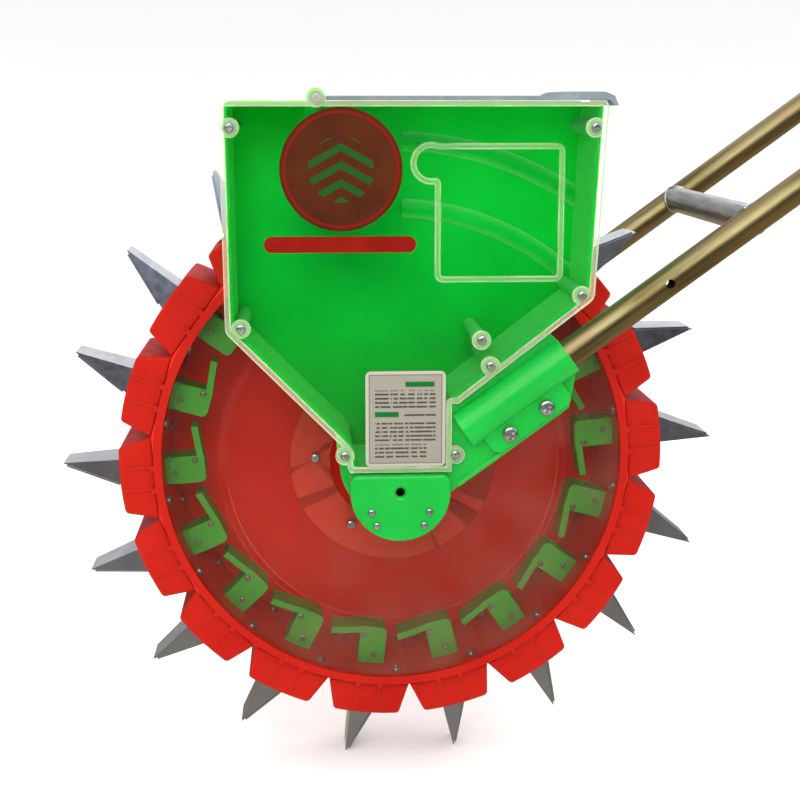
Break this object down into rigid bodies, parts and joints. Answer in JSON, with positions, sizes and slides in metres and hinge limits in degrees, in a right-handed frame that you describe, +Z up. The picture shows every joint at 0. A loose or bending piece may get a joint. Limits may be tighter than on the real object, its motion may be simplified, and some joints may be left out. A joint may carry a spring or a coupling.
{
  "type": "walk-behind seed planter",
  "caption": "Walk-behind seed planter: a roller wheel with opening beaks around its rim, a clear-fronted seed hopper on the axle and a push handle.",
  "frame": {"origin": "middle of the wheel on the axle line", "axes": "+X back towards the person pushing, +Y along the axle away from the hopper, +Z up"},
  "size_m": [1.1751, 0.488, 0.9431],
  "materials": {
    "green_plastic": "glossy moulded plastic",
    "spoon_plastic": "glossy moulded plastic",
    "red_plastic": "glossy moulded plastic",
    "clear_plastic": "clear moulded plastic",
    "grey_plastic": "tinted plastic",
    "bright_steel": "bright pressed sheet",
    "zinc_screws": "bright zinc",
    "axle_steel": "turned and ground",
    "chromate_steel": "yellow chromate zinc",
    "crossbar_steel": "grey zinc",
    "grip_rubber": "matt rubber",
    "plate_film": "printed film",
    "decal_film": "printed film"
  },
  "bodies": {
    "stand": {"hopper_body": "green_plastic", "near_arm": "green_plastic", "axle_cap": "green_plastic", "tube_clamp": "green_plastic", "far_arm": "green_plastic", "far_tube_clamp": "green_plastic", "hopper_cover": "clear_plastic", "cover_screws": "zinc_screws", "axle_cap_screws": "zinc_screws", "tube_clamp_screws": "zinc_screws", "far_clamp_screws": "zinc_screws", "axle_nut": "zinc_screws", "axle_washer": "zinc_screws", "axle_circlip": "zinc_screws", "lid_hinge_pin": "zinc_screws", "axle": "axle_steel", "handle_tube_near": "chromate_steel", "handle_tube_far": "chromate_steel", "push_bar": "chromate_steel", "handle_crossbar": "crossbar_steel", "grip_near": "grip_rubber", "grip_far": "grip_rubber", "spec_plate": "plate_film", "round_decal": "decal_film"},
    "lid": {"lid": "grey_plastic"},
    "wheel": {"rim_segments": "red_plastic", "drum_back_disc": "red_plastic", "wheel_hub": "red_plastic", "hub_screws": "zinc_screws", "bearing_near": "axle_steel", "bearing_far": "axle_steel", "clear_side_disc": "clear_plastic", "disc_retaining_ring": "red_plastic", "hub_collar": "red_plastic", "hub_collar_screws": "zinc_screws", "rim_blocks": "red_plastic", "block_screws": "zinc_screws", "seed_spoons": "spoon_plastic", "spoon_screws": "zinc_screws", "fixed_beaks": "bright_steel", "beak_hinge_pins": "zinc_screws", "beak_springs": "zinc_screws"},
    "movable_beak_01": {"movable_beak_01": "bright_steel"},
    "movable_beak_02": {"movable_beak_02": "bright_steel"},
    "movable_beak_03": {"movable_beak_03": "bright_steel"},
    "movable_beak_04": {"movable_beak_04": "bright_steel"},
    "movable_beak_05": {"movable_beak_05": "bright_steel"},
    "movable_beak_06": {"movable_beak_06": "bright_steel"},
    "movable_beak_07": {"movable_beak_07": "bright_steel"},
    "movable_beak_08": {"movable_beak_08": "bright_steel"},
    "movable_beak_09": {"movable_beak_09": "bright_steel"},
    "movable_beak_10": {"movable_beak_10": "bright_steel"},
    "movable_beak_11": {"movable_beak_11": "bright_steel"},
    "movable_beak_12": {"movable_beak_12": "bright_steel"},
    "movable_beak_13": {"movable_beak_13": "bright_steel"},
    "movable_beak_14": {"movable_beak_14": "bright_steel"},
    "movable_beak_15": {"movable_beak_15": "bright_steel"},
    "movable_beak_16": {"movable_beak_16": "bright_steel"},
    "movable_beak_17": {"movable_beak_17": "bright_steel"},
    "movable_beak_18": {"movable_beak_18": "bright_steel"}
  },
  "joints": [
    {"name": "wheel_spin", "type": "hinge", "parent": "stand", "child": "wheel", "pos_m": [0, 0, 0], "axis": [0, 1, 0], "continuous": true},
    {"name": "lid_hinge", "type": "hinge", "parent": "stand", "child": "lid", "pos_m": [-0.0605, -0.11, 0.2935], "axis": [0, -1, 0], "range_deg": [0, 115]},
    {"name": "beak_01_hinge", "type": "hinge", "parent": "wheel", "child": "movable_beak_01", "pos_m": [0.21507, 0, 0.02756], "axis": [0, -1, 0], "range_deg": [0, 25], "stiffness_Nm_per_rad": 0.8, "springref_deg": -8.59},
    {"name": "beak_02_hinge", "type": "hinge", "parent": "wheel", "child": "movable_beak_02", "pos_m": [0.19267, 0, 0.09946], "axis": [0, -1, 0], "range_deg": [0, 25], "stiffness_Nm_per_rad": 0.8, "springref_deg": -8.59},
    {"name": "beak_03_hinge", "type": "hinge", "parent": "wheel", "child": "movable_beak_03", "pos_m": [0.14703, 0, 0.15935], "axis": [0, -1, 0], "range_deg": [0, 25], "stiffness_Nm_per_rad": 0.8, "springref_deg": -8.59},
    {"name": "beak_04_hinge", "type": "hinge", "parent": "wheel", "child": "movable_beak_04", "pos_m": [0.08367, 0, 0.20003], "axis": [0, -1, 0], "range_deg": [0, 25], "stiffness_Nm_per_rad": 0.8, "springref_deg": -8.59},
    {"name": "beak_05_hinge", "type": "hinge", "parent": "wheel", "child": "movable_beak_05", "pos_m": [0.0102, 0, 0.21658], "axis": [0, -1, 0], "range_deg": [0, 25], "stiffness_Nm_per_rad": 0.8, "springref_deg": -8.59},
    {"name": "beak_06_hinge", "type": "hinge", "parent": "wheel", "child": "movable_beak_06", "pos_m": [-0.06449, 0, 0.20701], "axis": [0, -1, 0], "range_deg": [0, 25], "stiffness_Nm_per_rad": 0.8, "springref_deg": -8.59},
    {"name": "beak_07_hinge", "type": "hinge", "parent": "wheel", "child": "movable_beak_07", "pos_m": [-0.1314, 0, 0.17247], "axis": [0, -1, 0], "range_deg": [0, 25], "stiffness_Nm_per_rad": 0.8, "springref_deg": -8.59},
    {"name": "beak_08_hinge", "type": "hinge", "parent": "wheel", "child": "movable_beak_08", "pos_m": [-0.18247, 0, 0.11713], "axis": [0, -1, 0], "range_deg": [0, 25], "stiffness_Nm_per_rad": 0.8, "springref_deg": -8.59},
    {"name": "beak_09_hinge", "type": "hinge", "parent": "wheel", "child": "movable_beak_09", "pos_m": [-0.21152, 0, 0.04766], "axis": [0, -1, 0], "range_deg": [0, 25], "stiffness_Nm_per_rad": 0.8, "springref_deg": -8.59},
    {"name": "beak_10_hinge", "type": "hinge", "parent": "wheel", "child": "movable_beak_10", "pos_m": [-0.21507, 0, -0.02756], "axis": [0, -1, 0], "range_deg": [0, 25], "stiffness_Nm_per_rad": 0.8, "springref_deg": -8.59},
    {"name": "beak_11_hinge", "type": "hinge", "parent": "wheel", "child": "movable_beak_11", "pos_m": [-0.19267, 0, -0.09946], "axis": [0, -1, 0], "range_deg": [0, 25], "stiffness_Nm_per_rad": 0.8, "springref_deg": -8.59},
    {"name": "beak_12_hinge", "type": "hinge", "parent": "wheel", "child": "movable_beak_12", "pos_m": [-0.14703, 0, -0.15935], "axis": [0, -1, 0], "range_deg": [0, 25], "stiffness_Nm_per_rad": 0.8, "springref_deg": -8.59},
    {"name": "beak_13_hinge", "type": "hinge", "parent": "wheel", "child": "movable_beak_13", "pos_m": [-0.08367, 0, -0.20003], "axis": [0, -1, 0], "range_deg": [0, 25], "stiffness_Nm_per_rad": 0.8, "springref_deg": -8.59},
    {"name": "beak_14_hinge", "type": "hinge", "parent": "wheel", "child": "movable_beak_14", "pos_m": [-0.0102, 0, -0.21658], "axis": [0, -1, 0], "range_deg": [0, 25], "stiffness_Nm_per_rad": 0.8, "springref_deg": -8.59},
    {"name": "beak_15_hinge", "type": "hinge", "parent": "wheel", "child": "movable_beak_15", "pos_m": [0.06449, 0, -0.20701], "axis": [0, -1, 0], "range_deg": [0, 25], "stiffness_Nm_per_rad": 0.8, "springref_deg": -8.59},
    {"name": "beak_16_hinge", "type": "hinge", "parent": "wheel", "child": "movable_beak_16", "pos_m": [0.1314, 0, -0.17247], "axis": [0, -1, 0], "range_deg": [0, 25], "stiffness_Nm_per_rad": 0.8, "springref_deg": -8.59},
    {"name": "beak_17_hinge", "type": "hinge", "parent": "wheel", "child": "movable_beak_17", "pos_m": [0.18247, 0, -0.11713], "axis": [0, -1, 0], "range_deg": [0, 25], "stiffness_Nm_per_rad": 0.8, "springref_deg": -8.59},
    {"name": "beak_18_hinge", "type": "hinge", "parent": "wheel", "child": "movable_beak_18", "pos_m": [0.21152, 0, -0.04766], "axis": [0, -1, 0], "range_deg": [0, 25], "stiffness_Nm_per_rad": 0.8, "springref_deg": -8.59}
  ]
}
